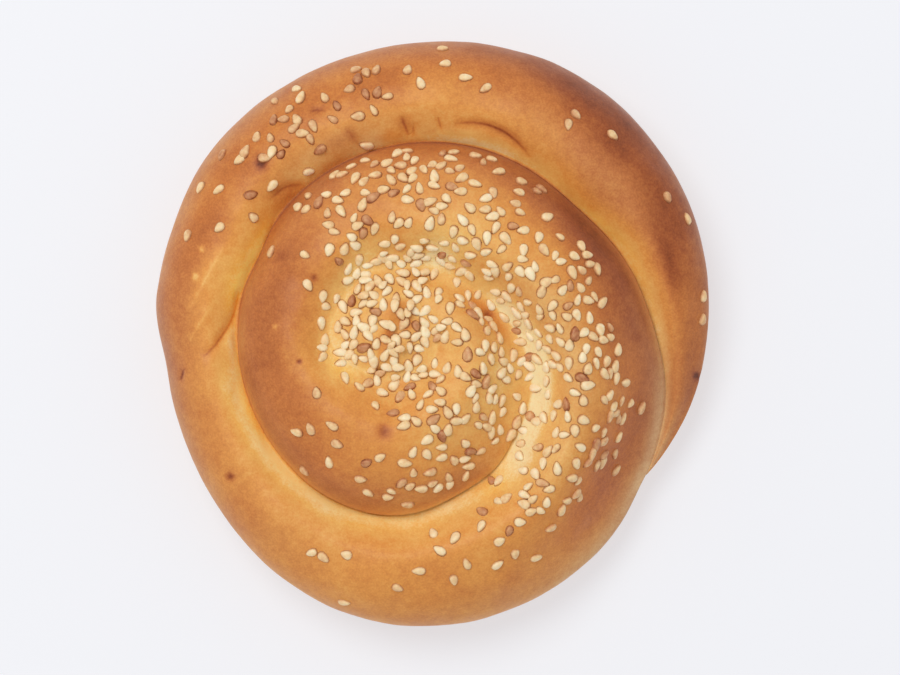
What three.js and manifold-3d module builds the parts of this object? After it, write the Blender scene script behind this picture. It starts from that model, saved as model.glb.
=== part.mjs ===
// A coiled brioche bun strewn with sesame seeds.
// One tapered rope of dough is wound clockwise from a small knob in the middle. Each turn leans out over
// the next, so the bun is a low turban, and the seam between the turns is a spiral crease.
// Millimetres, +Z up. The origin is the middle of the flat base. Seen from above, +X is right and +Y is up.

import * as THREE from "three";
import { mergeVertices } from "three/addons/utils/BufferGeometryUtils.js";
import Module from "manifold-3d";

const DEGREE = Math.PI / 180;
const QUARTER = Math.PI / 2;
const TURN = 2 * Math.PI;

// The seam runs round three rings, each struck from its own centre: the knob's, the coil's and the outline's.
// z is the height of the seam there: the floor of the crease, or the bun's widest level on the outline.
const KNOB_RING = { x: -8.73, y: 1.85, radius: 11.6, z: 30.5 };
const COIL_RING = { x: -0.43, y: -0.25, radius: 40.2, z: 21.5 };
const OUTLINE_RING = { x: 2.37, y: 0.25, radius: 60.7, z: 13.5 };
// The rings aren't quite round: waves with this many crests run round the knob and the outline.
// Angles run clockwise from +X.
const KNOB_WAVES = [
  { depth: 0.7, count: 3, angle: 40 * DEGREE },
  { depth: 0.4, count: 5, angle: 100 * DEGREE },
];
const OUTLINE_WAVES = [
  { depth: 0.6, count: 1, angle: 144 * DEGREE },
  { depth: 1.55, count: 2, angle: 74 * DEGREE },
  { depth: 0.2, count: 3, angle: 91 * DEGREE },
  { depth: 0.7, count: 4, angle: 29 * DEGREE },
];
// Dents of the coil, where the crease is pressed in.
const COIL_BUMPS = [
  { depth: -2.4, angle: 44 * DEGREE, spread: 16 * DEGREE },
  { depth: -2.0, angle: 76 * DEGREE, spread: 16 * DEGREE },
  { depth: -0.9, angle: 205 * DEGREE, spread: 9 * DEGREE },
  { depth: -1.15, angle: 320 * DEGREE, spread: 15 * DEGREE },
  { depth: -0.5, angle: 366 * DEGREE, spread: 14 * DEGREE },
];
// Bumps and dents of the outline: beside the notch, and at a blunt corner where the rope is twisted.
const OUTLINE_BUMPS = [
  { depth: 2.2, angle: 371 * DEGREE, spread: 13 * DEGREE },
  { depth: -0.6, angle: 399 * DEGREE, spread: 7 * DEGREE },
  { depth: -0.5, angle: 533 * DEGREE, spread: 6 * DEGREE },
  { depth: 0.75, angle: 546 * DEGREE, spread: 6.5 * DEGREE },
  { depth: -0.35, angle: 563 * DEGREE, spread: 8 * DEGREE },
];

// Angles along the rope, clockwise from +X, where the seam swings out from one ring to the next.
const FIRST_SWING = { from: -95 * DEGREE, to: 133 * DEGREE };
const SECOND_SWING = { from: 292 * DEGREE, to: 470 * DEGREE };
// The rope's outer end thins over the last stretch and closes on the seam at the notch.
const NOTCH_ANGLE = 394.5 * DEGREE;
const TAPER_ANGLE = 70 * DEGREE;
const TAPER_BLUNTNESS = 2.2;
// The crease and the widest level both dip where the rope's thin outer end lies low against the coil.
const NOTCH_DIP = { depth: 6.5, spread: 38 * DEGREE };
// The rope's inner end curls up in the knob. The crease fades out there, up to the knob's own height.
const ROPE_TURNS = 3.75;
const END_ANGLE = NOTCH_ANGLE + TURN;
const TIP_ANGLE = END_ANGLE - ROPE_TURNS * TURN;
const CURL_END_ANGLE = -290 * DEGREE;
const CREASE_FADE = { from: -450 * DEGREE, to: -80 * DEGREE };
const KNOB_HEIGHT = 32.5;

// The rope's cross-section rises from the inner crease to a crown, then rounds down to the outer crease.
// Places are shares of the rope's breadth, and the crown's rise is a share of it too. It rises from the inner
// crease, but from no higher than the crown's floor.
const CROWN_PLACE = 0.38;
const CROWN_FLOOR = 29.0;
const CROWN_RISE = 0.27;
const KNOB_RISE = 0.06;
const RISE_GROWTH = { from: -250 * DEGREE, to: 40 * DEGREE };
const INNER_ROUNDNESS = 1.7;
// Creases are soft dips in the knob, grow steep along this stretch of the rope, and are softer at the notch.
const STEEPENING = { from: 15 * DEGREE, to: 110 * DEGREE };
const NOTCH_SOFTNESS = 0.92;
// Below the widest level the side rounds in to the flat base.
const BASE_INSET = 9;
// The dough is a little lumpy.
const LUMP_HEIGHT = 0.45;
const LUMP_LENGTHS = [37, 29, 23];

// Sesame seeds, at their real size. point is how far the narrow end tapers.
const SEED = { length: 2.5, width: 1.55, thickness: 0.8, point: 0.5 };
const SEED_SIZE_SPREAD = 0.16;
const SEED_COUNT = 600;
// Seeds lie this far apart, or closer in the heap on the knob, which is the first handful.
const SEED_SPACING = 1.75;
const HEAP_SPACING = 1.25;
const SEED_SUNK = 0.18;
const SEED_TILT = 0.25;
// Seeds keep off steep creases by these shares of the rope's breadth.
const INNER_MARGIN = 0.05;
const OUTER_MARGIN = 0.07;
// The seeds were thrown on in handfuls. Each is an oval patch: its middle, half its length and half its
// width, its turn anticlockwise, and how thickly it covers the crust.
const HANDFULS = [
  { x: -8.5, y: 2.5, length: 12, width: 14, turned: 0, cover: 0.9 },
  { x: -6, y: 17, length: 14, width: 6, turned: 0, cover: 0.42 },
  { x: -12, y: 31, length: 18, width: 6, turned: 15 * DEGREE, cover: 0.42 },
  { x: 10, y: 26, length: 17, width: 8, turned: -35 * DEGREE, cover: 0.24 },
  { x: 10, y: 4, length: 15, width: 10, turned: -30 * DEGREE, cover: 0.5 },
  { x: 28, y: 2, length: 15, width: 8.5, turned: 90 * DEGREE, cover: 0.42 },
  { x: 32, y: -17, length: 14, width: 8, turned: 80 * DEGREE, cover: 0.38 },
  { x: 19, y: -35, length: 15, width: 6, turned: 35 * DEGREE, cover: 0.27 },
  { x: 6, y: -15, length: 14, width: 11, turned: 0, cover: 0.46 },
  { x: 2, y: -30, length: 14, width: 5, turned: 10 * DEGREE, cover: 0.16 },
  { x: -28, y: 42, length: 13, width: 7, turned: 35 * DEGREE, cover: 0.16 },
  { x: -13, y: 51, length: 6, width: 7, turned: 0, cover: 0.2 },
];
// Seeds that fell apart from the rest: the angle along the rope, the share across it, and the heading.
const STRAYS = [
  [94, 0.24, 190], [102, 0.86, 5], [104, 0.57, 30], [109, 0.85, 315], [110, 0.63, 30], [112, 0.76, 0],
  [124, 0.59, 340], [125, 0.75, 90], [129, 0.49, 150], [132, 0.93, 310], [137, 0.63, 110], [141, 0.74, 170],
  [144, 0.38, 100], [204, 0.4, 300], [208, 0.9, 60], [285, 0.93, 5], [290, 0.94, 0], [302, 0.89, 0],
  [308, 0.93, 320], [389, 0.7, 60], [397, 0.78, 30], [426, 0.72, 350], [430, 0.61, 280], [432, 0.46, 30],
  [435, 0.62, 40], [442, 0.52, 110], [446, 0.62, 280], [448, 0.35, 150], [449, 0.2, 115], [454, 0.49, 180],
  [459, 0.64, 335], [470, 0.89, 20], [472, 0.44, 160], [477, 0.56, 320], [480, 0.58, 200], [561, 0.8, 260],
  [566, 0.5, 220], [571, 0.86, 250], [573, 0.68, 210], [573, 0.23, 140], [577, 0.36, 15], [579, 0.86, 265],
  [581, 0.68, 215], [587, 0.71, 90], [592, 0.74, 90], [604, 0.68, 120], [612, 0.83, 10], [623, 0.72, 80],
  [626, 0.57, 110], [630, 0.91, 5], [631, 0.75, 190], [636, 0.63, 0], [641, 0.56, 215], [662, 0.66, 310],
  [662, 0.54, 265], [671, 0.73, 325], [689, 0.79, 300], [695, 0.9, 130], [712, 0.9, 90], [717, 0.88, 80],
];
// The draw is a multiplicative generator: each state is the last one times the factor, within the modulus.
const DRAW = { start: 20817, factor: 48271, modulus: 2147483647 };

// The facets: rows in each turn of the rope, columns across it, and rows down the side.
const ROWS_PER_TURN = 64;
const COLUMNS = 8;
const INNER_COLUMNS = 3;
const SIDE_ROWS = 4;
// Fused seeds are the largest ones that stand this far clear of each other.
const FUSED_SPACING = 3.9;
const SEED_SIDES = 6;
const SEED_RINGS = 3;
// The step along and across the rope over which its slope is measured.
const SLOPE_STEP = 0.02;

const CRUST = new THREE.MeshStandardMaterial({ color: 0xc98445, roughness: 0.5, metalness: 0 });

const { clamp, lerp, smoothstep } = THREE.MathUtils;
const within = (angle, span) => smoothstep(angle, span.from, span.to);
const soften = (share) => smoothstep(share, 0, 1);
const bell = (distance) => Math.exp(-(distance ** 2));
const sum = (numbers) => numbers.reduce((total, number) => total + number, 0);

function ringPoint(ring, angle, radius) {
  return new THREE.Vector3(ring.x + radius * Math.cos(angle), ring.y - radius * Math.sin(angle), ring.z);
}

// The sum of a ring's waves at an angle.
function waving(waves, angle) {
  return sum(waves.map((wave) => wave.depth * Math.cos(wave.count * (angle - wave.angle))));
}

// The sum of a ring's bumps at an angle.
function bulging(bumps, angle) {
  return sum(bumps.map((bump) => bump.depth * bell((angle - bump.angle) / bump.spread)));
}

// How near the notch is, as a bell curve of the angle to it along either turn.
function nearNotch(angle) {
  const away = Math.min(Math.abs(angle - NOTCH_ANGLE), Math.abs(angle - END_ANGLE));
  return bell(away / NOTCH_DIP.spread);
}

// The seam of an endless rope: it curls out of the knob, then swings from ring to ring.
function endlessSeam(angle) {
  const curl = clamp((angle - TIP_ANGLE) / (CURL_END_ANGLE - TIP_ANGLE), 0, 1);
  const knob = ringPoint(KNOB_RING, angle, (KNOB_RING.radius + waving(KNOB_WAVES, angle)) * curl);
  knob.z = lerp(KNOB_HEIGHT, KNOB_RING.z, within(angle, CREASE_FADE));
  const coil = ringPoint(COIL_RING, angle, COIL_RING.radius + bulging(COIL_BUMPS, angle));
  const outlineRadius = OUTLINE_RING.radius + waving(OUTLINE_WAVES, angle) + bulging(OUTLINE_BUMPS, angle);
  const outline = ringPoint(OUTLINE_RING, angle, outlineRadius);
  const point = knob.lerp(coil, within(angle, FIRST_SWING)).lerp(outline, within(angle, SECOND_SWING));
  point.z -= NOTCH_DIP.depth * nearNotch(angle);
  return point;
}

// The rope's own seam. Its last turn is the outline, which closes on the turn before it at the notch.
function seam(angle) {
  const taper = clamp((angle - END_ANGLE + TAPER_ANGLE) / TAPER_ANGLE, 0, 1);
  const breadth = 1 - taper ** TAPER_BLUNTNESS;
  return endlessSeam(angle).lerp(endlessSeam(angle - TURN), 1 - breadth);
}

// The two edges of the rope at an angle, and its breadth from above. The first turn's inner edge is the tip.
function edges(angle) {
  const inner = seam(Math.max(angle - TURN, TIP_ANGLE));
  const outer = seam(angle);
  return { inner, outer, breadth: Math.hypot(outer.x - inner.x, outer.y - inner.y) };
}

function lump(x, y) {
  const waves = LUMP_LENGTHS.map((length, k) => {
    return Math.sin((TURN * x) / length + k) * Math.cos((TURN * y) / length + 2 * k);
  });
  return (LUMP_HEIGHT * sum(waves)) / waves.length;
}

// How steeply the rope falls into its outer crease, from 0 to 1.
function steepness(angle) {
  return within(angle, STEEPENING) * (1 - NOTCH_SOFTNESS * nearNotch(angle));
}

// A point of the rope's skin. share runs across the rope, from 0 at the inner crease to 1 at the outer one.
// Beside a steep crease the skin rises on a parabola-like curve to the crown, and falls on a quarter of an
// ellipse. Beside a soft one it dips gently.
function skin(angle, share) {
  const { inner, outer, breadth } = edges(angle);
  const growth = within(angle, RISE_GROWTH);
  const floor = lerp(inner.z, Math.min(inner.z, CROWN_FLOOR), growth);
  const crown = floor + breadth * lerp(KNOB_RISE, CROWN_RISE, growth);
  const rising = share < CROWN_PLACE;
  const away = rising ? 1 - share / CROWN_PLACE : Math.min((share - CROWN_PLACE) / (1 - CROWN_PLACE), 1);
  const steepArch = rising ? 1 - away ** INNER_ROUNDNESS : Math.sqrt(1 - away ** 2);
  const arch = lerp(1 - soften(away), steepArch, steepness(rising ? angle - TURN : angle));
  const foot = rising ? inner.z : outer.z;
  const point = inner.clone().lerp(outer, share);
  const swell = arch * Math.min(breadth / COIL_RING.radius, 1);
  return point.setZ(lerp(foot, crown, arch) + swell * lump(point.x, point.y));
}

// Columns lie closer together where the skin turns down into the outer crease.
function columnShare(column) {
  if (column <= INNER_COLUMNS) return (CROWN_PLACE * column) / INNER_COLUMNS;
  const turned = ((column - INNER_COLUMNS) / (COLUMNS - INNER_COLUMNS)) * QUARTER;
  return CROWN_PLACE + (1 - CROWN_PLACE) * Math.sin(turned);
}

// A level of the side: the outline drawn in and lowered along a quarter of an ellipse.
function sideLevel(outline, turned) {
  return outline.map((point) => {
    const inward = new THREE.Vector3(OUTLINE_RING.x - point.x, OUTLINE_RING.y - point.y, 0).normalize();
    const moved = point.clone().addScaledVector(inward, BASE_INSET * (1 - Math.cos(turned)));
    return moved.setZ(point.z * (1 - Math.sin(turned)));
  });
}

// The dough as one closed mesh: the spiral strip of skin, the side under the outline, and the base.
// Each turn shares the vertices of its inner edge with the outer edge of the turn before.
function doughMesh() {
  const vertices = [];
  const triangles = [];
  const addVertex = (point) => vertices.push(point) - 1;
  const addTriangle = (a, b, c) => {
    if (a !== b && b !== c && c !== a) triangles.push(a, b, c);
  };
  const addQuad = (a, b, c, d) => {
    addTriangle(a, b, c);
    addTriangle(a, c, d);
  };
  const rows = ROPE_TURNS * ROWS_PER_TURN;
  const tip = addVertex(seam(TIP_ANGLE));
  const strip = [new Array(COLUMNS + 1).fill(tip)];
  for (let row = 1; row < rows; row++) {
    const angle = TIP_ANGLE + (row / ROWS_PER_TURN) * TURN;
    strip.push([row > ROWS_PER_TURN ? strip[row - ROWS_PER_TURN][COLUMNS] : tip]);
    for (let column = 1; column <= COLUMNS; column++) {
      strip[row].push(addVertex(skin(angle, columnShare(column))));
    }
  }
  const notch = strip[rows - ROWS_PER_TURN][COLUMNS];
  strip.push(new Array(COLUMNS + 1).fill(notch));
  for (let row = 0; row < rows; row++) {
    for (let column = 0; column < COLUMNS; column++) {
      const [near, far] = [strip[row], strip[row + 1]];
      addQuad(near[column], far[column], far[column + 1], near[column + 1]);
    }
  }

  let level = strip.slice(rows - ROWS_PER_TURN, rows).map((row) => row[COLUMNS]);
  const outline = level.map((id) => vertices[id]);
  const after = (k) => (k + 1) % ROWS_PER_TURN;
  for (let step = 1; step <= SIDE_ROWS; step++) {
    const upper = level;
    const lower = sideLevel(outline, (step / SIDE_ROWS) * QUARTER).map(addVertex);
    upper.forEach((id, k) => addQuad(id, upper[after(k)], lower[after(k)], lower[k]));
    level = lower;
  }
  const middle = addVertex(new THREE.Vector3(0, 0, 0));
  level.forEach((id, k) => addTriangle(id, level[after(k)], middle));
  return { vertices, triangles };
}

// A repeatable stream of numbers from 0 to 1.
function drawer() {
  let state = DRAW.start;
  return () => {
    state = (state * DRAW.factor) % DRAW.modulus;
    return state / DRAW.modulus;
  };
}

// How thickly a handful covers a place.
function covering(hand, x, y) {
  const along = (x - hand.x) * Math.cos(hand.turned) + (y - hand.y) * Math.sin(hand.turned);
  const across = (y - hand.y) * Math.cos(hand.turned) - (x - hand.x) * Math.sin(hand.turned);
  return hand.cover * bell((along / hand.length) ** 2 + (across / hand.width) ** 2);
}

function straySeed([angle, share, heading]) {
  const point = skin(angle * DEGREE, share);
  return { point, angle: angle * DEGREE, share, heading: heading * DEGREE, size: 1, roll: 0 };
}

// Where each seed lies: first the strays, then those drawn evenly over the crust, kept as the handfuls cover
// it, and clear of the others.
function scatterSeeds() {
  const draw = drawer();
  const seeds = STRAYS.map(straySeed);
  while (seeds.length < SEED_COUNT) {
    const angle = TIP_ANGLE + draw() * ROPE_TURNS * TURN;
    const share = lerp(INNER_MARGIN * steepness(angle - TURN), 1 - OUTER_MARGIN * steepness(angle), draw());
    const chance = draw();
    const heading = draw() * TURN;
    const size = 1 + SEED_SIZE_SPREAD * (2 * draw() - 1);
    const roll = SEED_TILT * (2 * draw() - 1);
    const { breadth } = edges(angle);
    const point = skin(angle, share);
    const reach = Math.hypot(point.x - KNOB_RING.x, point.y - KNOB_RING.y);
    const area = (breadth * reach) / (COIL_RING.radius * OUTLINE_RING.radius);
    const covers = HANDFULS.map((hand) => covering(hand, point.x, point.y));
    const spacing = lerp(SEED_SPACING, HEAP_SPACING, covers[0]);
    const kept = chance < area * Math.min(1, sum(covers));
    if (kept && seeds.every((other) => other.point.distanceTo(point) > spacing)) {
      seeds.push({ point, angle, share, heading, size, roll });
    }
  }
  return seeds;
}

// The seeds that are fused: the largest come first, each standing clear of those already taken.
function clearSeeds(seeds) {
  const taken = [];
  for (const seed of [...seeds].sort((a, b) => b.size - a.size)) {
    if (taken.every((other) => other.point.distanceTo(seed.point) > FUSED_SPACING)) taken.push(seed);
  }
  return taken;
}

// The crust's outward direction at a seed, from two short steps over the skin.
function outwards(seed) {
  const { angle, share } = seed;
  const along = skin(angle + SLOPE_STEP, share).sub(skin(angle - SLOPE_STEP, share));
  const across = skin(angle, share + SLOPE_STEP).sub(skin(angle, share - SLOPE_STEP));
  return along.cross(across).normalize();
}

// A seed is a flattened drop that lies along X: round at one end, narrow at the other.
// Only its corners are kept, and the vertices that meet at a corner are merged.
function seedGeometry() {
  const drop = new THREE.SphereGeometry(0.5, SEED_SIDES, SEED_RINGS).rotateZ(-QUARTER);
  const place = drop.getAttribute("position");
  for (let k = 0; k < place.count; k++) {
    const narrowing = 1 - SEED.point * (place.getX(k) + 0.5);
    place.setXYZ(k, place.getX(k), place.getY(k) * narrowing, place.getZ(k) * narrowing);
  }
  const fullness = 1 - SEED.point / 2;
  drop.scale(SEED.length, SEED.width / fullness, SEED.thickness / fullness);
  drop.deleteAttribute("normal");
  drop.deleteAttribute("uv");
  return mergeVertices(drop);
}

// A seed lies flat on the crust, turned to its heading, rolled a little, and partly sunk.
function seedPlacement(seed) {
  const up = outwards(seed);
  const heading = new THREE.Vector3(Math.cos(seed.heading), Math.sin(seed.heading), 0);
  const side = up.clone().cross(heading).normalize();
  const placement = new THREE.Matrix4().makeBasis(side.clone().cross(up), side, up);
  placement.multiply(new THREE.Matrix4().makeRotationX(seed.roll));
  placement.scale(new THREE.Vector3().setScalar(seed.size));
  const lift = SEED.thickness * (0.5 - SEED_SUNK) * seed.size;
  return placement.setPosition(seed.point.clone().addScaledVector(up, lift));
}

const wasm = await Module();
wasm.setup();

function solidFrom(positions, triangles) {
  const vertProperties = new Float32Array(positions);
  const triVerts = new Uint32Array(triangles);
  return new wasm.Manifold(new wasm.Mesh({ numProp: 3, vertProperties, triVerts }));
}

// The dough with its seeds. Only the outer shell is kept: loose scraps go, and a hollow sealed under a
// seed is filled.
function bunGeometry() {
  const dough = doughMesh();
  const drop = seedGeometry();
  let solid = solidFrom(dough.vertices.flatMap((point) => point.toArray()), dough.triangles);
  for (const seed of clearSeeds(scatterSeeds())) {
    const placed = drop.clone().applyMatrix4(seedPlacement(seed));
    solid = solid.add(solidFrom(placed.getAttribute("position").array, placed.getIndex().array));
  }
  const [shell] = solid.decompose().sort((a, b) => b.volume() - a.volume());
  const mesh = shell.getMesh();
  const geometry = new THREE.BufferGeometry();
  geometry.setAttribute("position", new THREE.BufferAttribute(new Float32Array(mesh.vertProperties), 3));
  geometry.setIndex(new THREE.BufferAttribute(new Uint32Array(mesh.triVerts), 1));
  geometry.computeVertexNormals();
  return geometry;
}

const brioche = new THREE.Group();
const bun = new THREE.Mesh(bunGeometry(), CRUST);
bun.name = "bun";
brioche.add(bun);

export default brioche;
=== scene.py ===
"""The looks of a coiled brioche bun strewn with sesame seeds.

The crust is one closed surface: a tapered rope of dough wound clockwise out of a small knob, given as a
function of the angle along the rope and the share of its breadth. Low relief and the depth of the bake,
with painted shade in some creases, folds and a pit and a painted sheen on dull patches, are worked out
on the same grid. The seeds fall by the same repeatable draw as in the solid, their dark rims and brims
partly painted shade. Shapes are worked out in millimetres, +Z up, and put into the meshes in metres.
"""

from typing import NamedTuple

import bpy
import numpy as np
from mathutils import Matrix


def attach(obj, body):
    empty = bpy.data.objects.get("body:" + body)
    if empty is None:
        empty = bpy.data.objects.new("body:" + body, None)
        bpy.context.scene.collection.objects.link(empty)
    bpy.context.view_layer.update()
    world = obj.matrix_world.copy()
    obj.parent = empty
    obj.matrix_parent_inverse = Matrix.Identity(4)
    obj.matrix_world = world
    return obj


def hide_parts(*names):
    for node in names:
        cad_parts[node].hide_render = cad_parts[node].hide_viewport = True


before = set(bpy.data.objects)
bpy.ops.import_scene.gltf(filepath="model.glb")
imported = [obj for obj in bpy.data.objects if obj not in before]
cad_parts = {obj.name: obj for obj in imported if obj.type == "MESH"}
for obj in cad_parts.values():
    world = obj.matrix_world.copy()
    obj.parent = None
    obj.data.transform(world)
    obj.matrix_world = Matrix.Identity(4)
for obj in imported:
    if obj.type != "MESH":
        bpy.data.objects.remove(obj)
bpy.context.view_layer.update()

MILLIMETRE = 0.001
TURN = 360.0
# Vectors shorter than this count as this long when they are divided by their length.
SHORTEST = 1e-12


class Ring(NamedTuple):
    """A ring that the seam runs round, and the seam's height there."""

    x: float
    y: float
    radius: float
    z: float


class Wave(NamedTuple):
    """One cosine wave of a ring's radius."""

    depth: float
    count: int
    angle: float


class Bump(NamedTuple):
    """A swelling of a ring's radius, or a dent where its depth is negative, falling away to both sides."""

    depth: float
    angle: float
    spread: float


class Span(NamedTuple):
    """A stretch of angles, shares or other numbers."""

    start: float
    end: float


WHOLE = Span(0, 1)


class Handful(NamedTuple):
    """An oval patch of thrown seeds: its middle, half its length and width, its turn and how thickly it
    covers."""

    x: float
    y: float
    length: float
    width: float
    turned: float
    cover: float


class Stray(NamedTuple):
    """A seed that fell apart from the rest: its angle along the rope, its share across it and its
    heading."""

    angle: float
    share: float
    heading: float


class Patch(NamedTuple):
    """A stretch of the rope that is browner, or paler where change is negative, and dulled by a painted
    sheen, the paler, greyer colour of a grazing reflection, or more golden where that sheen is negative.
    Some browner patches along the creases are painted shade. length is in degrees along the rope, and share
    and breadth are shares across it."""

    angle: float
    share: float
    length: float
    breadth: float
    change: float
    painted_sheen: float = 0.0


class Fold(NamedTuple):
    """A groove, or a ridge where depth is negative, along a line bent between three places seen from
    above, with its change of browning, partly its own bake and partly painted shade in a groove or painted
    light on a ridge, and that of the thin line in its bottom, which is painted shade, or a painted
    highlight where it is negative."""

    start: tuple
    bend: tuple
    end: tuple
    width: float
    depth: float
    change: float
    line: float


class Mark(NamedTuple):
    """A round pit, or a blister where depth is negative, with its own change of browning."""

    x: float
    y: float
    radius: float
    depth: float
    change: float


class Noise(NamedTuple):
    """A noise in a finish: its bumps in a metre, its levels of detail, and the values that it is spread
    over."""

    scale: float
    detail: float
    values: Span = WHOLE


# The rope of dough, as in the solid. Angles are in degrees, clockwise from +X.
KNOB_RING = Ring(-8.73, 1.85, 11.6, 30.5)
COIL_RING = Ring(-0.43, -0.25, 40.2, 21.5)
OUTLINE_RING = Ring(2.37, 0.25, 60.7, 13.5)
KNOB_WAVES = (Wave(0.7, 3, 40), Wave(0.4, 5, 100))
OUTLINE_WAVES = (Wave(0.6, 1, 144), Wave(1.55, 2, 74), Wave(0.2, 3, 91), Wave(0.7, 4, 29))
COIL_BUMPS = (
    Bump(-2.4, 44, 16), Bump(-2.0, 76, 16), Bump(-0.9, 205, 9), Bump(-1.15, 320, 15), Bump(-0.5, 366, 14),
)
OUTLINE_BUMPS = (
    Bump(2.2, 371, 13), Bump(-0.6, 399, 7), Bump(-0.5, 533, 6), Bump(0.75, 546, 6.5), Bump(-0.35, 563, 8),
)
FIRST_SWING = Span(-95, 133)
SECOND_SWING = Span(292, 470)
NOTCH_ANGLE = 394.5
TAPER_ANGLE = 70
TAPER_BLUNTNESS = 2.2
NOTCH_DIP_DEPTH = 6.5
NOTCH_DIP_SPREAD = 38
ROPE_TURNS = 3.75
END_ANGLE = NOTCH_ANGLE + TURN
TIP_ANGLE = END_ANGLE - ROPE_TURNS * TURN
CURL_END_ANGLE = -290
CREASE_FADE = Span(-450, -80)
KNOB_HEIGHT = 32.5
CROWN_PLACE = 0.38
CROWN_FLOOR = 29.0
CROWN_RISE = 0.27
KNOB_RISE = 0.06
RISE_GROWTH = Span(-250, 40)
INNER_ROUNDNESS = 1.7
STEEPENING = Span(15, 110)
NOTCH_SOFTNESS = 0.92
BASE_INSET = 9
LUMP_HEIGHT = 0.45
LUMP_LENGTHS = (37, 29, 23)

# The crust's grid: rows in each turn, columns across the rope, and rows down the side and over the base.
ROWS_PER_TURN = 480
COLUMNS = 46
INNER_COLUMNS = 16
COLUMN_CROWDING = 0.7
SIDE_ROWS = 14
BASE_ROWS = 3
# Shares past 1 run down the side to 2 at the base's edge, and to this in its middle.
BASE_MIDDLE_SHARE = 3.0
# Rows closer to the tip than this are drawn together into it.
TIP_ROWS = 40

# The crust's low relief: sets of soft waves, each with their number, lengths and mean swing. They are
# stronger on the knob, weaker where the rope rolls over to the outline, and fade out above the base.
RIPPLE_SEED = 11
RIPPLES = ((26, Span(9, 17), 0.14), (40, Span(3.2, 7), 0.03), (48, Span(1.7, 2.8), 0.010))
OUTLINE_RIPPLE = 0.3
ROLLED_OVER = Span(0.7, 1.0)
RELIEF_FADE = Span(1.6, 2.0)
KNOB_LUMPS = 1.6
KNOB_REACH = 17

# Folds where the rope was twisted and wrinkles where it pulls in at the crease, with painted shade in
# their grooves and painted highlights on their ridges.
FOLDS = (
    Fold((-40.3, 9.2), (-40.3, 1.2), (-47.8, -4.9), 0.9, 0.6, 0.14, 0.26),
    Fold((-51.9, -7.2), (-52.2, -8.6), (-52.6, -9.9), 0.5, 0.3, 0.06, 0.30),
    Fold((-43.2, 18.6), (-47.0, 11.5), (-51.2, 4.0), 1.2, -0.30, -0.06, -0.08),
    Fold((-46.0, 5.6), (-49.0, 1.6), (-50.8, -2.2), 0.9, -0.25, -0.05, -0.07),
    Fold((-40.6, 6.6), (-42.8, 1.0), (-42.0, -5.6), 0.8, -0.25, -0.10, 0),
    Fold((-6.5, 45.2), (-5.7, 42.9), (-4.8, 40.9), 0.9, 0.45, 0.14, 0.20),
    Fold((-4.3, 43.8), (-4.0, 42.5), (-3.8, 41.0), 0.7, 0.30, 0.10, 0.16),
    Fold((1.0, 45.2), (1.4, 43.9), (2.0, 42.2), 0.7, 0.30, 0.08, 0.16),
    Fold((4.0, 43.6), (15.0, 44.6), (20.2, 36.6), 1.1, 0.45, 0.24, 0.26),
    Fold((-18.4, 42.8), (-16.4, 41.2), (-14.6, 37.8), 0.9, 0.40, 0.10, 0.06),
    Fold((-25.6, 46.3), (-23.8, 46.8), (-22.0, 46.4), 0.7, 0.25, 0.14, 0.10),
    # Painted shadow: this fold darkens the crease where the outer turn's bulges meet the coil.
    Fold((-33.6, 27.6), (-30.4, 31.4), (-26.4, 30.9), 1.1, 0.5, 0.16, 0.16),
)
FOLD_STEPS = 36
# How far from a fold its thin line of painted shade, or painted highlight on a ridge, may be drawn, and
# how wide it is.
LINE_REACH = 1.6
LINE_WIDTH = 0.28

# Pits left by lost seeds and burst bubbles, and small pale blisters.
MARKS = (
    Mark(-9.8, -20.2, 1.5, 0.35, 0.35),
    Mark(-42.1, -29.8, 0.8, 0.3, 0.45),
    Mark(-24.4, 11.5, 0.8, 0.15, 0.28),
    Mark(-31.6, 16.2, 1.6, 0.1, 0.14),
    Mark(-5.5, 2.1, 1.1, 0.3, 0.45),
    Mark(-8.8, 0.3, 1.2, 0.3, 0.35),
    # Painted shadow: this pit is darkened for the shade in its hole.
    Mark(-11.1, -8.2, 1.1, 0.5, 0.35),
    Mark(11.6, 3.9, 1.2, 0.3, 0.3),
    Mark(-48.0, 17.6, 0.55, -0.25, -0.4),
    Mark(-49.3, 11.9, 0.65, -0.3, -0.45),
    Mark(-32.5, 1.5, 0.5, -0.2, -0.3),
    Mark(-35.4, 35.4, 1.3, 0.3, 0.50),
    Mark(-27.4, -5.7, 0.5, 0.2, 0.50),
    Mark(-1.8, 17.6, 0.9, 0.2, 0.30),
    Mark(-6.6, 18.0, 0.9, 0.2, 0.30),
    Mark(55.5, -8.9, 0.8, 0.15, 0.50),
)

# Broad spots of the knob: cream where seeds kept it pale, and reddish lumps.
KNOB_SPOTS = (
    Mark(-19.4, -6.4, 4.4, 0, -0.16),
    Mark(0.7, 16.0, 3.2, 0, -0.14),
    Mark(-7.6, 4.0, 3.0, -0.3, 0.20),
    Mark(-9.8, -2.6, 2.0, -0.2, 0.18),
)

# The depth of the bake runs from 0, pale, to 1, dark. Each profile gives it at shares across the rope, and
# the side's at shares down the side and over the base.
KNOB_PROFILE = ((0, 0.20), (0.2, 0.27), (0.5, 0.30), (0.8, 0.27), (0.92, 0.23), (1, 0.20))
SIDE_PROFILE = ((1.06, 0.44), (1.2, 0.41), (1.4, 0.38), (1.6, 0.37), (1.85, 0.50), (2, 0.70), (3, 0.72))
COIL_PROFILE = (
    (0, 0.26), (0.07, 0.32), (0.2, 0.42), (0.5, 0.48), (0.72, 0.52), (0.9, 0.57), (0.98, 0.56), (1, 0.61),
) + SIDE_PROFILE
OUTER_PROFILE = (
    (0, 0.24), (0.08, 0.26), (0.25, 0.36), (0.5, 0.44), (0.75, 0.50), (0.92, 0.50),
) + SIDE_PROFILE
COIL_PROFILE_FROM = Span(10, 100)
OUTER_PROFILE_FROM = Span(350, 440)
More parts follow.
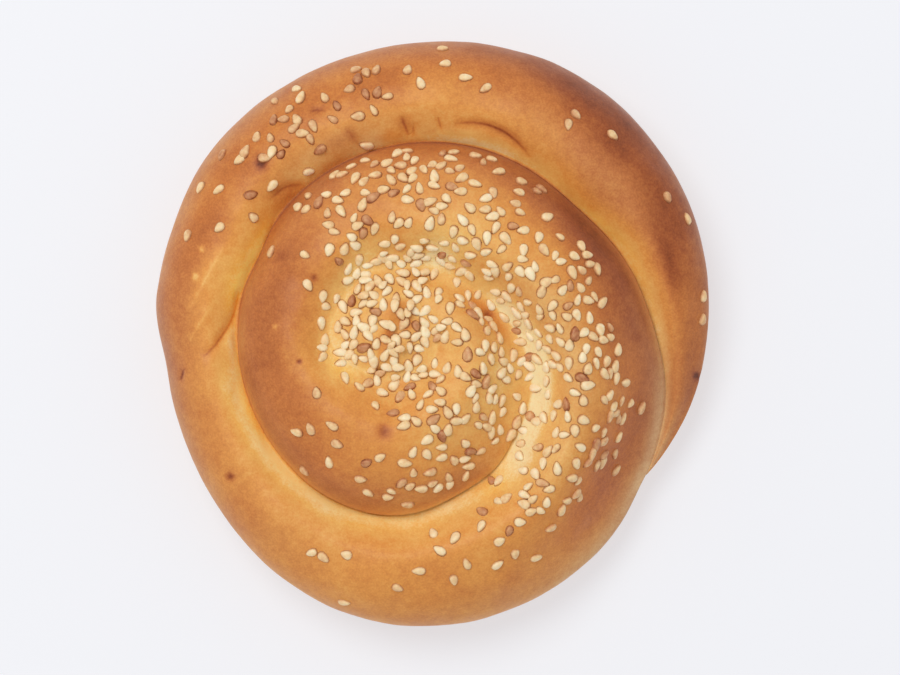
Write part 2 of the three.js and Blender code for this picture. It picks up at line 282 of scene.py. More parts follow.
# Where the bake departs from the profiles, in order of the angle along the rope. The sixth number is a
# painted sheen, golden where negative.
PATCHES = tuple(Patch(*row) for row in (
    (-8, 0.88, 16, 0.12, 0.22),
    (8, 0.50, 24, 0.35, 0.06, 0.08),
    (30, 0.04, 22, 0.06, 0.12),
    (30, 0.68, 20, 0.20, -0.14),
    (66, 1.00, 14, 0.03, -0.20, -0.10),
    (74, 0.92, 18, 0.10, 0.03, 0.40),
    (78, 0.66, 20, 0.22, -0.07),
    (82, 0.04, 12, 0.05, 0.14),
    (82, 0.50, 22, 0.15, -0.12),
    (90, 1.00, 14, 0.025, -0.20, -0.05),
    (92, 0.92, 14, 0.10, -0.10),
    (130, 0.92, 28, 0.10, 0.01, 0.20),
    (140, 1.00, 36, 0.04, -0.14, -0.30),
    (142, 0.08, 14, 0.10, -0.02, -0.35),
    (172, 0.94, 45, 0.08, 0.02, 0.15),
    (185, 0.64, 58, 0.28, 0.19, 0.12),
    (186, 0.95, 12, 0.08, -0.11, 0.20),
    (208, 0.86, 8, 0.12, -0.06),
    (214, 0.97, 6, 0.05, 0.06, -0.20),
    (232, 0.14, 28, 0.18, -0.18),
    (235, 0.92, 14, 0.10, 0.04, 0.20),
    (238, 0.68, 20, 0.24, -0.09, 0.10),
    # Painted shade: a thin darker line on the coil's edge along the crease.
    (262, 1.00, 52, 0.018, 0.14),
    (278, 0.64, 26, 0.18, -0.06, 0.15),
    (290, 0.90, 45, 0.12, 0.05, 0.05),
    (300, 0.20, 16, 0.30, -0.16),
    (308, 0.45, 34, 0.35, -0.10),
    (318, 0.96, 30, 0.10, 0.10, 0.05),
    (342, 0.88, 36, 0.17, 0.24, 0.16),
    (350, 0.36, 20, 0.22, -0.10, 0.22),
    (352, 1.00, 26, 0.03, -0.29, 0.25),
    (353, 0.90, 7, 0.06, -0.09),
    (359, 0.67, 10, 0.10, 0.11, 0.05),
    (370, 0.06, 24, 0.10, -0.62),
    (372, 0.90, 12, 0.10, -0.02, 0.28),
    (378, 0.36, 16, 0.16, -0.15, 0.25),
    (380, 0.98, 24, 0.08, -0.18, 0.60),
    (385, 0.88, 7, 0.14, 0.06, 0.05),
    (388, 0.06, 12, 0.06, -0.10, 0.15),
    (397, 0.72, 24, 0.22, 0.16, -0.35),
    (402, 0.06, 20, 0.09, -0.38),
    (402, 0.98, 26, 0.12, -0.18, 0.80),
    (404, 0.36, 14, 0.22, -0.09, 0.15),
    (405, 0.76, 13, 0.13, 0.06),
    (410, 0.15, 8, 0.06, -0.14, 0.10),
    (420, 0.78, 10, 0.14, -0.05),
    (424, 0.08, 8, 0.08, 0.03, -0.40),
    (431, 0.03, 10, 0.04, 0.11, 0.10),
    (432, 0.10, 10, 0.06, -0.05, 0.05),
    (442, 0.05, 11, 0.05, -0.09, 0.05),
    (449, 0.14, 9, 0.08, 0.01, -0.05),
    (458, 0.39, 12, 0.20, 0.05),
    (466, 0.03, 32, 0.06, -0.14, -0.35),
    (480, 0.80, 16, 0.25, -0.08),
    (484, 0.12, 8, 0.10, -0.06, 0.20),
    (488, 0.62, 16, 0.20, 0.04, 0.12),
    (490, 0.09, 28, 0.11, -0.19, -0.50),
    (510, 0.12, 10, 0.10, -0.06),
    (516, 0.04, 10, 0.06, 0.06, -0.50),
    (519, 0.17, 16, 0.14, -0.20, -0.30),
    (520, 0.62, 20, 0.20, 0.05, 0.10),
    (520, 0.92, 26, 0.14, 0.02, 0.35),
    (527, 0.27, 9, 0.08, -0.07),
    (528, 0.05, 9, 0.07, -0.16, -0.30),
    (536, 0.03, 9, 0.05, -0.08, -0.50),
    (540, 0.95, 16, 0.15, 0.08, 0.30),
    (546, 0.68, 16, 0.16, 0.02, 0.20),
    (552, 0.09, 7, 0.08, -0.06, -0.60),
    (553, 0.30, 10, 0.15, -0.04, -0.10),
    (558, 0.05, 10, 0.09, -0.20, -0.50),
    (560, 0.16, 10, 0.12, -0.06, -0.30),
    (562, 0.03, 9, 0.05, -0.18, -0.30),
    (562, 0.62, 14, 0.20, 0.08),
    (567, 0.05, 9, 0.08, -0.10, -0.55),
    (574, 0.10, 6, 0.12, 0.11, -0.30),
    (580, 0.96, 26, 0.14, 0.00, 0.45),
    # Painted shadow: the browner patches on the crease, at shares up to 0.08 from 585° to 625°, where the
    # outer turn lies against the coil.
    (585, 0.05, 5, 0.07, 0.34, -0.20),
    (587, 0.60, 36, 0.28, 0.13),
    (588, 0.08, 4, 0.08, -0.14),
    (598, 0.22, 22, 0.16, 0.00, 0.25),
    (600, 0.03, 6, 0.06, 0.18),
    (604, 0.20, 6, 0.10, 0.16, 0.15),
    (611, 0.04, 6, 0.08, -0.10),
    (614, 0.08, 5, 0.08, 0.02, 0.40),
    (615, 0.66, 8, 0.10, 0.10),
    (618, 0.08, 4, 0.07, 0.13, -0.35),
    (621, 0.18, 5, 0.09, 0.11),
    (625, 0.02, 5, 0.05, 0.18),
    (630, 0.96, 30, 0.12, 0.08, 0.45),
    (642, 0.03, 18, 0.06, -0.26, -0.30),
    (650, 0.54, 14, 0.20, 0.04, 0.05),
    (657, 0.86, 8, 0.10, 0.04),
    (658, 0.88, 20, 0.14, 0.14, 0.30),
    (672, 0.08, 14, 0.12, 0.06, -0.30),
    (672, 0.27, 14, 0.14, 0.07),
    (672, 0.68, 6, 0.10, 0.06),
    (676, 1.14, 50, 0.15, 0.11, 0.20),
    (678, 0.03, 16, 0.05, -0.08),
    (678, 0.42, 22, 0.28, 0.00, 0.30),
    (684, 0.72, 34, 0.30, 0.31),
    (685, 0.05, 8, 0.06, -0.03, -0.40),
    (692, 0.25, 24, 0.18, 0.12),
    (692, 0.96, 36, 0.12, 0.06, 0.40),
    (694, 0.14, 7, 0.16, -0.10, -0.20),
    (702, 0.06, 12, 0.09, 0.06, -0.35),
    (703, 0.49, 9, 0.12, 0.26),
    (709, 0.40, 5, 0.10, 0.09),
    (714, 0.08, 20, 0.12, -0.14, -0.05),
    (724, 0.06, 6, 0.07, 0.05),
    (731, 0.15, 7, 0.16, 0.08),
    (734, 0.40, 14, 0.50, 0.19, 0.15),
    (738, 0.10, 20, 0.22, -0.05, 0.55),
    (738, 0.85, 14, 0.22, 0.08, 0.20),
    (743, 0.12, 8, 0.14, 0.10),
    (743, 0.65, 8, 0.20, -0.05),
    (754, 0.50, 14, 0.50, -0.16, 0.75),
))

# Sesame seeds, as in the solid.
SEED_LENGTH = 2.5
SEED_WIDTH = 1.55
SEED_THICKNESS = 0.8
SEED_POINT = 0.5
SEED_SIZE_SPREAD = 0.16
SEED_COUNT = 600
SEED_SPACING = 1.75
HEAP_SPACING = 1.25
SEED_SUNK = 0.18
SEED_TILT = np.degrees(0.25)
INNER_MARGIN = 0.05
OUTER_MARGIN = 0.07
SLOPE_STEP_ANGLE = np.degrees(0.02)
SLOPE_STEP_SHARE = 0.02
HANDFULS = (
    Handful(-8.5, 2.5, 12, 14, 0, 0.9),
    Handful(-6, 17, 14, 6, 0, 0.42),
    Handful(-12, 31, 18, 6, 15, 0.42),
    Handful(10, 26, 17, 8, -35, 0.24),
    Handful(10, 4, 15, 10, -30, 0.50),
    Handful(28, 2, 15, 8.5, 90, 0.42),
    Handful(32, -17, 14, 8, 80, 0.38),
    Handful(19, -35, 15, 6, 35, 0.27),
    Handful(6, -15, 14, 11, 0, 0.46),
    Handful(2, -30, 14, 5, 10, 0.16),
    Handful(-28, 42, 13, 7, 35, 0.16),
    Handful(-13, 51, 6, 7, 0, 0.20),
)
STRAYS = tuple(Stray(*row) for row in (
    (94, 0.24, 190), (102, 0.86, 5), (104, 0.57, 30), (109, 0.85, 315),
    (110, 0.63, 30), (112, 0.76, 0), (124, 0.59, 340), (125, 0.75, 90),
    (129, 0.49, 150), (132, 0.93, 310), (137, 0.63, 110), (141, 0.74, 170),
    (144, 0.38, 100), (204, 0.40, 300), (208, 0.90, 60), (285, 0.93, 5),
    (290, 0.94, 0), (302, 0.89, 0), (308, 0.93, 320), (389, 0.70, 60),
    (397, 0.78, 30), (426, 0.72, 350), (430, 0.61, 280), (432, 0.46, 30),
    (435, 0.62, 40), (442, 0.52, 110), (446, 0.62, 280), (448, 0.35, 150),
    (449, 0.20, 115), (454, 0.49, 180), (459, 0.64, 335), (470, 0.89, 20),
    (472, 0.44, 160), (477, 0.56, 320), (480, 0.58, 200), (561, 0.80, 260),
    (566, 0.50, 220), (571, 0.86, 250), (573, 0.68, 210), (573, 0.23, 140),
    (577, 0.36, 15), (579, 0.86, 265), (581, 0.68, 215), (587, 0.71, 90),
    (592, 0.74, 90), (604, 0.68, 120), (612, 0.83, 10), (623, 0.72, 80),
    (626, 0.57, 110), (630, 0.91, 5), (631, 0.75, 190), (636, 0.63, 0),
    (641, 0.56, 215), (662, 0.66, 310), (662, 0.54, 265), (671, 0.73, 325),
    (689, 0.79, 300), (695, 0.90, 130), (712, 0.90, 90), (717, 0.88, 80),
))
DRAW_START = 20817
DRAW_FACTOR = 48271
DRAW_MODULUS = 2147483647
DRAWS_PER_SEED = 6
CANDIDATES = 60000
# A seed's mesh: its sides, the heights of its rings as turns above the rim, and the brim of baked wash
# round it, which is also coloured as painted contact shadow.
SEED_SIDES = 12
SEED_RING_TURNS = (56, 28, 0)
BRIM_WIDTH = 0.27
BRIM_SUNK = 0.1
TUCKED_BRIM = 0.7
# How seeds differ, and how they lie on each other.
SEED_SHAPE_SEED = 23
SEED_SHAPE_SPREAD = 0.10
SEED_LAYER_REACH = 1.7
SEED_LAYER_HEIGHT = 0.4
SEED_LAYER_TILT = 14
SEED_TOP_LAYER = 2
# Toasted seeds: more so on browner crust, a few well toasted, and most of those thrown on the scorched
# side.
SEED_TOAST_SEED = 24
PALE_TOAST = Span(0, 0.26)
DARK_TOAST = Span(0.36, 0.72)
CRUST_TOAST = 0.5
CRUST_TOAST_FROM = 0.2
TOAST_SHARE = 0.08
# A seed's rim is darkened partly as toast and partly as painted shade, and its brim is dark brown for baked
# wash and for painted contact shadow round the seed.
SEED_RIM_TOAST_AND_SHADE = 0.12
BRIM_WASH_AND_SHADE = 0.68
SCORCHED_HANDFUL = Handful(-24, 44, 24, 9, 35, 0.75)

# The finishes' noises. A raw noise mostly stays within its range.
NOISE_RANGE = Span(0.3, 0.7)
BLOTCH = Noise(110, 3, Span(-0.05, 0.05))
MOTTLE = Noise(700, 4, Span(-0.04, 0.04))
SPECK = Noise(2400, 2, Span(-0.05, 0.05))
GLOSS = Noise(260, 3, Span(0.40, 0.54))
GRAIN = Noise(1500, 3)
FINE_GRAIN = Noise(4200, 2)
FINE_GRAIN_SHARE = 0.5
SEED_MOTTLE = Noise(900, 3, Span(-0.12, 0.12))
SEED_GRAIN = Noise(3500, 2)
# A mix node's sockets for colours, by number, because their names repeat.
MIX_FIRST = 6
MIX_SECOND = 7
MIX_RESULT = 2

# The studio: the picture's width and middle on the outline's level, the camera's height above it, how far
# it sees, the floor, and the lamp's place, breadth and tilt about X and Y.
VIEW_WIDTH = 189.0
VIEW_MIDDLE = (3.65, -0.78)
CAMERA_HEIGHT = 1200.0
CAMERA_REACH = 20000.0
SENSOR_WIDTH = 36.0
FLOOR_SIZE = 6000.0
FLOOR_GAP = 0.05
LAMP_PLACE = (-320, 360, 1100)
LAMP_BREADTH = 600
LAMP_TILT = (-18, -16, 0)


def lerp(first, last, share):
    """first where share is 0, last where it is 1, and a straight run between them."""
    return first + (last - first) * share


def smoothstep(value, span):
    """0 before the span, 1 after it, and the cubic 3u² - 2u³ of the place u within it."""
    place = np.clip((value - span.start) / (span.end - span.start), 0, 1)
    return place * place * (3 - 2 * place)


def bell(distance):
    """The bell curve: e to the power of minus the distance squared."""
    return np.exp(-np.square(distance))


def unit(vectors):
    """Each vector divided by its own length."""
    return vectors / np.linalg.norm(vectors, axis=-1, keepdims=True)


def ring_point(ring, angle, radius, height):
    """The point at an angle clockwise from +X on a circle about the ring's middle, at a height."""
    turned = np.radians(angle)
    x = ring.x + radius * np.cos(turned)
    y = ring.y - radius * np.sin(turned)
    return np.stack(np.broadcast_arrays(x, y, height), axis=-1)


def waving(waves, angle):
    """The sum of the waves at an angle, each depth·cos(count·(angle - its own angle))."""
    return sum(wave.depth * np.cos(np.radians(wave.count * (angle - wave.angle))) for wave in waves)


def bulging(bumps, angle):
    """The sum of the bumps at an angle, each its depth times a bell curve of the angle from its own."""
    return sum(bump.depth * bell((angle - bump.angle) / bump.spread) for bump in bumps)


def notch_distance(angle):
    """The angle to the notch, where the rope's outer end closes on the turn before, along either turn."""
    return np.minimum(abs(angle - NOTCH_ANGLE), abs(angle - END_ANGLE))


def endless_seam(angle):
    """The seam of an endless rope: a circle that widens in the knob, slides to the coil's ring over the
    first swing and over the second to the outline. The rings' radii have waves and bell-shaped bumps, and
    the seam's height a bell-shaped dip at the notch."""
    curl = np.clip((angle - TIP_ANGLE) / (CURL_END_ANGLE - TIP_ANGLE), 0, 1)
    knob_height = lerp(KNOB_HEIGHT, KNOB_RING.z, smoothstep(angle, CREASE_FADE))
    knob = ring_point(KNOB_RING, angle, (KNOB_RING.radius + waving(KNOB_WAVES, angle)) * curl, knob_height)
    coil = ring_point(COIL_RING, angle, COIL_RING.radius + bulging(COIL_BUMPS, angle), COIL_RING.z)
    outline_radius = OUTLINE_RING.radius + waving(OUTLINE_WAVES, angle) + bulging(OUTLINE_BUMPS, angle)
    outline = ring_point(OUTLINE_RING, angle, outline_radius, OUTLINE_RING.z)
    point = lerp(knob, coil, smoothstep(angle, FIRST_SWING)[..., None])
    point = lerp(point, outline, smoothstep(angle, SECOND_SWING)[..., None])
    point[..., 2] -= NOTCH_DIP_DEPTH * bell(notch_distance(angle) / NOTCH_DIP_SPREAD)
    return point


def seam(angle):
    """The rope's own seam: the endless one, drawn in to the turn before as the breadth 1 - u^bluntness
    falls to nothing over the taper at the rope's outer end."""
    taper = np.clip((angle - END_ANGLE + TAPER_ANGLE) / TAPER_ANGLE, 0, 1)
    breadth = 1 - taper**TAPER_BLUNTNESS
    return lerp(endless_seam(angle - TURN), endless_seam(angle), breadth[..., None])


def edges(angle):
    """The rope's inner edge, which is the seam one turn back, its outer edge, and its breadth seen from
    above."""
    inner = seam(np.maximum(angle - TURN, TIP_ANGLE))
    outer = seam(angle)
    breadth = np.hypot(outer[..., 0] - inner[..., 0], outer[..., 1] - inner[..., 1])
    return inner, outer, breadth


def lump(x, y):
    """The mean of three crossed waves, sin(2πx/L + k)·cos(2πy/L + 2k), times the lump's height."""
    waves = [
        np.sin(2 * np.pi * x / length + k) * np.cos(2 * np.pi * y / length + 2 * k)
        for k, length in enumerate(LUMP_LENGTHS)
    ]
    return LUMP_HEIGHT * sum(waves) / len(waves)


def steepness(angle):
    """How steeply the rope falls into its outer crease: not at all in the knob, fully along the coil, and
    less in a bell curve about the notch."""
    softened = NOTCH_SOFTNESS * bell(notch_distance(angle) / NOTCH_DIP_SPREAD)
    return smoothstep(angle, STEEPENING) * (1 - softened)


def skin(angle, share):
    """A point of the rope's skin: straight across from edge to edge seen from above, with a height that
    rises from the inner crease to the crown as 1 - v^roundness and falls to the outer edge as √(1 - v²),
    v being the distance from the crown. Where a crease isn't steep, both slide to the cubic of
    smoothstep."""
    angle, share = np.broadcast_arrays(np.asarray(angle, float), np.asarray(share, float))
    inner, outer, breadth = edges(angle)
    growth = smoothstep(angle, RISE_GROWTH)
    floor = lerp(inner[..., 2], np.minimum(inner[..., 2], CROWN_FLOOR), growth)
    crown = floor + breadth * lerp(KNOB_RISE, CROWN_RISE, growth)
    rising = share < CROWN_PLACE
    before = np.clip(1 - share / CROWN_PLACE, 0, 1)
    after = np.clip((share - CROWN_PLACE) / (1 - CROWN_PLACE), 0, 1)
    rise = lerp(1 - smoothstep(before, WHOLE), 1 - before**INNER_ROUNDNESS, steepness(angle - TURN))
    fall = lerp(1 - smoothstep(after, WHOLE), np.sqrt(1 - after**2), steepness(angle))
    arch = np.where(rising, rise, fall)
    foot = np.where(rising, inner[..., 2], outer[..., 2])
    point = lerp(inner, outer, share[..., None])
    swell = arch * np.minimum(breadth / COIL_RING.radius, 1)
    point[..., 2] = lerp(foot, crown, arch) + swell * lump(point[..., 0], point[..., 1])
    return point


class Crust(NamedTuple):
    """The crust's grid: its points, each with its angle and its share across the rope, and its faces."""

    points: np.ndarray
    angle: np.ndarray
    share: np.ndarray
    faces: list


def column_shares():
    """Shares across the rope: even up to the crown, then between even steps and the sine of an even turn,
    so that columns crowd where the skin rolls over into the outer crease."""
    rising = np.linspace(0, CROWN_PLACE, INNER_COLUMNS + 1)
    even = np.linspace(0, 1, COLUMNS - INNER_COLUMNS + 1)[1:]
    crowded = lerp(even, np.sin(even * np.pi / 2), COLUMN_CROWDING)
    return np.concatenate([rising, CROWN_PLACE + (1 - CROWN_PLACE) * crowded])


def grid_faces(ids):
    """The cells of a grid of vertex numbers as faces, without the sides that have shrunk to a point."""
    quads = np.stack([ids[:-1, :-1], ids[1:, :-1], ids[1:, 1:], ids[:-1, 1:]], axis=-1).reshape(-1, 4)
    kept = quads != np.roll(quads, 1, axis=1)
    whole = kept.all(axis=1)
    three = kept.sum(axis=1) == 3
    return quads[whole].tolist() + quads[three][kept[three]].reshape(-1, 3).tolist()


def crust_grid():
    """The whole closed surface. The strip of skin has a row for each angle and a column for each share,
    and its first column is the last column of the turn before, so the turns are welded along the crease.
    Below, the outline is drawn in by inset·(1 - cos φ) and lowered by z·sin φ to the base, which shrinks
    evenly to its middle."""
    rows = int(ROPE_TURNS * ROWS_PER_TURN)
    angles = TIP_ANGLE + np.arange(rows + 1) * TURN / ROWS_PER_TURN
    shares = column_shares()
    fresh = (rows - 1 - TIP_ROWS) * COLUMNS
    ids = np.zeros((rows + 1, COLUMNS + 1), int)
    ids[TIP_ROWS + 1:rows, 1:] = 1 + np.arange(fresh).reshape(-1, COLUMNS)
    ids[ROWS_PER_TURN:rows, 0] = ids[:rows - ROWS_PER_TURN, COLUMNS]
    ids[rows] = ids[rows - ROWS_PER_TURN, COLUMNS]
    strip_angle, strip_share = np.meshgrid(angles[TIP_ROWS + 1:rows], shares[1:], indexing="ij")
    tip = seam(np.array([TIP_ANGLE]))
    strip = skin(strip_angle, strip_share).reshape(-1, 3)

    last_turn = angles[rows - ROWS_PER_TURN:rows]
    outline = skin(last_turn, 1.0)
    turned = np.linspace(0, np.pi / 2, SIDE_ROWS + 1)[1:, None]
    inward = unit((OUTLINE_RING.x, OUTLINE_RING.y) - outline[:, :2])
    side = np.empty((SIDE_ROWS, ROWS_PER_TURN, 3))
    side[..., :2] = outline[:, :2] + inward * BASE_INSET * (1 - np.cos(turned))[..., None]
    side[..., 2] = outline[:, 2] * (1 - np.sin(turned))
    shrink = np.linspace(1, 0, BASE_ROWS + 1)[1:-1, None, None]
    base = side[-1] * shrink
    under = np.concatenate([side, base]).reshape(-1, 3)
    under_share = np.concatenate([1 + turned[:, 0] * 2 / np.pi, BASE_MIDDLE_SHARE - shrink[:, 0, 0]])

    under_ids = np.zeros((SIDE_ROWS + BASE_ROWS + 1, ROWS_PER_TURN), int)
    under_ids[0] = ids[rows - ROWS_PER_TURN:rows, COLUMNS]
    under_ids[1:-1] = 1 + fresh + np.arange(len(under)).reshape(-1, ROWS_PER_TURN)
    under_ids[-1] = 1 + fresh + len(under)
    under_ids = np.concatenate([under_ids, under_ids[:, :1]], axis=1)

    under_angle = np.tile(last_turn, len(under_share))
    under_share = np.repeat(under_share, ROWS_PER_TURN)
    return Crust(
        points=np.concatenate([tip, strip, under, np.zeros((1, 3))]),
        angle=np.concatenate([[TIP_ANGLE], strip_angle.ravel(), under_angle, [END_ANGLE]]),
        share=np.concatenate([[1.0], strip_share.ravel(), under_share, [BASE_MIDDLE_SHARE]]),
        faces=grid_faces(ids) + grid_faces(under_ids.T),
    )


def ripple_waves():
    """Seeded plane waves for the ripples: for each set, wave vectors of random direction, random phases
    and the height that gives their sum the set's mean swing."""
    drawn = np.random.default_rng(RIPPLE_SEED)
    sets = []
    for count, lengths, height in RIPPLES:
        direction = unit(drawn.normal(size=(count, 3)))
        length = drawn.uniform(lengths.start, lengths.end, (count, 1))
        phase = drawn.uniform(0, 2 * np.pi, count)
        sets.append((direction * 2 * np.pi / length, phase, height * np.sqrt(2 / count)))
    return sets


def ripples(points):
    """The sum of the plane waves, each height·cos(wave vector·point + phase), swelled on the knob."""
    total = np.zeros(len(points))
    for waves, phase, height in ripple_waves():
        total = total + height * np.cos(points @ waves.T + phase).sum(axis=1)
    from_knob = np.hypot(points[:, 0] - KNOB_RING.x, points[:, 1] - KNOB_RING.y)
    return total * (1 + KNOB_LUMPS * bell(from_knob / KNOB_REACH))


def fold_line(fold):
    """Points along the fold, (1-u)²·start + 2u(1-u)·bend + u²·end, and the line's direction at each."""
    u = np.linspace(0, 1, FOLD_STEPS)[:, None]
    start, bend, end = (np.array(place) for place in (fold.start, fold.bend, fold.end))
    line = (1 - u) ** 2 * start + 2 * u * (1 - u) * bend + u**2 * end
    return line, unit((1 - u) * (bend - start) + u * (end - bend))


def fold_distance(fold, points):
    """Each point's signed distance across the fold at the nearest place on it, its whole distance from that
    place, and a strength that falls as √sin(πu) to nothing at the fold's two ends."""
    line, direction = fold_line(fold)
    off = points[:, None, :2] - line
    apart = np.linalg.norm(off, axis=-1)
    nearest = apart.argmin(axis=1)
    rows = np.arange(len(points))
    off = off[rows, nearest]
    ahead = direction[nearest]
    across = ahead[:, 0] * off[:, 1] - ahead[:, 1] * off[:, 0]
    ends = np.sqrt(np.sin(np.pi * nearest / (FOLD_STEPS - 1)))
    return across, apart[rows, nearest], ends


def fold_strength(fold, points):
    """1 on the fold's line, falling as a bell curve away from it and to nothing at its two ends."""
    _, apart, ends = fold_distance(fold, points)
    return bell(apart / fold.width) * ends


def painted_fold_lines(points, angle, share):
    """For the fold whose thin line is strongest at a point: the signed distance across it, and the line's
    change of browning, painted shade, or a painted highlight where it is negative, which falls as e^(-r⁴),
    r being the distance as a share of its reach."""
    across = np.full(len(points), LINE_REACH)
    change = np.zeros(len(points))
    for fold in FOLDS:
        fold_across, apart, ends = fold_distance(fold, points)
        strength = fold.line * ends * bell((apart / LINE_REACH) ** 2) * on_outer_turn(angle, share)
        stronger = abs(strength) > abs(change)
        across = np.where(stronger, fold_across, across)
        change = np.where(stronger, strength, change)
    return across, change


def mark_strength(mark, points):
    """1 in the mark's middle, falling as a bell curve with the distance seen from above."""
    return bell(np.hypot(points[:, 0] - mark.x, points[:, 1] - mark.y) / mark.radius)


def patch_strength(patch, angle, share):
    """1 in the patch's middle, falling as a bell curve along and across the rope."""
    return bell(np.hypot((angle - patch.angle) / patch.length, (share - patch.share) / patch.breadth))


def on_outer_turn(angle, share):
    """1 on the top of the rope's outer turn, where the folds lie, and 0 elsewhere."""
    return (angle > NOTCH_ANGLE) & (share <= 1)


def relief(points, angle, share):
    """How far the crust stands out along its normal: the ripples, which fade to nothing on the base, less
    each fold and pit. Folds only lie on the outer turn and pits only on the top."""
    folded = sum(fold.depth * fold_strength(fold, points) for fold in FOLDS) * on_outer_turn(angle, share)
    pitted = sum(mark.depth * mark_strength(mark, points) for mark in MARKS + KNOB_SPOTS) * (share <= 1)
    above_base = 1 - smoothstep(share, RELIEF_FADE)
    rolled_over = smoothstep(share, ROLLED_OVER)
    return above_base * ripples(points) * lerp(1, OUTLINE_RIPPLE, rolled_over) - folded - pitted


def bake_and_shade(points, angle, share):
    """The depth of the bake, with painted shade added: the profile across the rope, sliding from the knob's
    to the coil's and on to the outer turn's, plus a bell-shaped change for each patch, fold and mark, some
    of which paint the shade in creases, folds and a pit."""
    coil = np.interp(share, *np.transpose(COIL_PROFILE))
    outer = np.interp(share, *np.transpose(OUTER_PROFILE))
    knob = np.interp(share, *np.transpose(KNOB_PROFILE))
    depth = lerp(knob, coil, smoothstep(angle, COIL_PROFILE_FROM))
    depth = lerp(depth, outer, smoothstep(angle, OUTER_PROFILE_FROM))
    depth = depth + sum(patch.change * patch_strength(patch, angle, share) for patch in PATCHES)
    for fold in FOLDS:
        depth = depth + on_outer_turn(angle, share) * fold.change * fold_strength(fold, points)
    for mark in MARKS + KNOB_SPOTS:
        depth = depth + (share <= 1) * mark.change * mark_strength(mark, points)
    return np.clip(depth, 0, 1)


def sheen_and_gold(angle, share):
    """The crust's painted sheen, the dulled colour of a grazing reflection, from -1, golden, to 1: the sum
    of the patches' own, each falling as a bell curve."""
    return np.clip(sum(patch.painted_sheen * patch_strength(patch, angle, share) for patch in PATCHES), -1, 1)


def vertex_normals(points, faces):
    """Each vertex's outward direction: the sum of the normals of the faces that meet there."""
    corners = np.array([face[:3] for face in faces])
    a, b, c = (points[corners[:, k]] for k in range(3))
    across = np.cross(b - a, c - a)
    total = np.stack(
        [np.bincount(corners.ravel(), np.repeat(across[:, k], 3), len(points)) for k in range(3)], axis=1
    )
    return total / np.maximum(np.linalg.norm(total, axis=1, keepdims=True), SHORTEST)


def draws(count):
    """A repeatable row of numbers from 0 to 1: the start times rising powers of the factor, within the
    modulus. The powers are doubled up: each block is the block before times its last power."""
    powers = np.array([DRAW_FACTOR], np.uint64)
    while len(powers) < count:
        powers = np.concatenate([powers, powers * powers[-1] % DRAW_MODULUS])
    return DRAW_START * powers[:count] % DRAW_MODULUS / DRAW_MODULUS


def covering(hand, x, y):
    """How thickly a handful covers a place: its cover times e^(-r⁴), r being 1 on the rim of its oval."""
    turned = np.radians(hand.turned)
    along = (x - hand.x) * np.cos(turned) + (y - hand.y) * np.sin(turned)
    across = (y - hand.y) * np.cos(turned) - (x - hand.x) * np.sin(turned)
    return hand.cover * bell((along / hand.length) ** 2 + (across / hand.width) ** 2)


class Seeds(NamedTuple):
    """Where each seed lies and how it is turned."""

    point: np.ndarray
    angle: np.ndarray
    share: np.ndarray
    heading: np.ndarray
    size: np.ndarray
    roll: np.ndarray


def scatter_seeds():
    """The seeds: first the strays, then those drawn evenly over the crust, kept as the handfuls cover it,
    and each clear of the ones before."""
    drawn = draws(CANDIDATES * DRAWS_PER_SEED).reshape(-1, DRAWS_PER_SEED)
    along_draw, across_draw, keep_draw, heading_draw, size_draw, roll_draw = drawn.T
    stray_angle, stray_share, stray_heading = np.transpose(STRAYS)
    angle = TIP_ANGLE + along_draw * ROPE_TURNS * TURN
    share = lerp(INNER_MARGIN * steepness(angle - TURN), 1 - OUTER_MARGIN * steepness(angle), across_draw)
    angle = np.append(stray_angle, angle)
    share = np.append(stray_share, share)
    heading = np.append(stray_heading, heading_draw * TURN)
    size = np.append(np.ones(len(STRAYS)), 1 + SEED_SIZE_SPREAD * (2 * size_draw - 1))
    roll = np.append(np.zeros(len(STRAYS)), SEED_TILT * (2 * roll_draw - 1))
    point = skin(angle, share)
    reach = np.hypot(point[:, 0] - KNOB_RING.x, point[:, 1] - KNOB_RING.y)
    area = edges(angle)[2] * reach / (COIL_RING.radius * OUTLINE_RING.radius)
    cover = np.minimum(1, sum(covering(hand, point[:, 0], point[:, 1]) for hand in HANDFULS))
    spacing = lerp(SEED_SPACING, HEAP_SPACING, covering(HANDFULS[0], point[:, 0], point[:, 1]))
    kept = np.append(np.full(len(STRAYS), True), keep_draw < (area * cover)[len(STRAYS):])
    taken = []
    for k in np.flatnonzero(kept):
        apart = np.linalg.norm(point[taken] - point[k], axis=1)
        if len(taken) < SEED_COUNT and np.all(apart > spacing[k]):
            taken.append(k)
    return Seeds(point[taken], angle[taken], share[taken], heading[taken], size[taken], roll[taken])


class Drop(NamedTuple):
    """One seed's mesh: its points, its faces, which points are the brim's, and how much more toasted each
    point is than its seed, which on the rim is partly painted shade."""

    points: np.ndarray
    quads: np.ndarray
    triangles: np.ndarray
    brim: slice
    toast_and_shade: np.ndarray


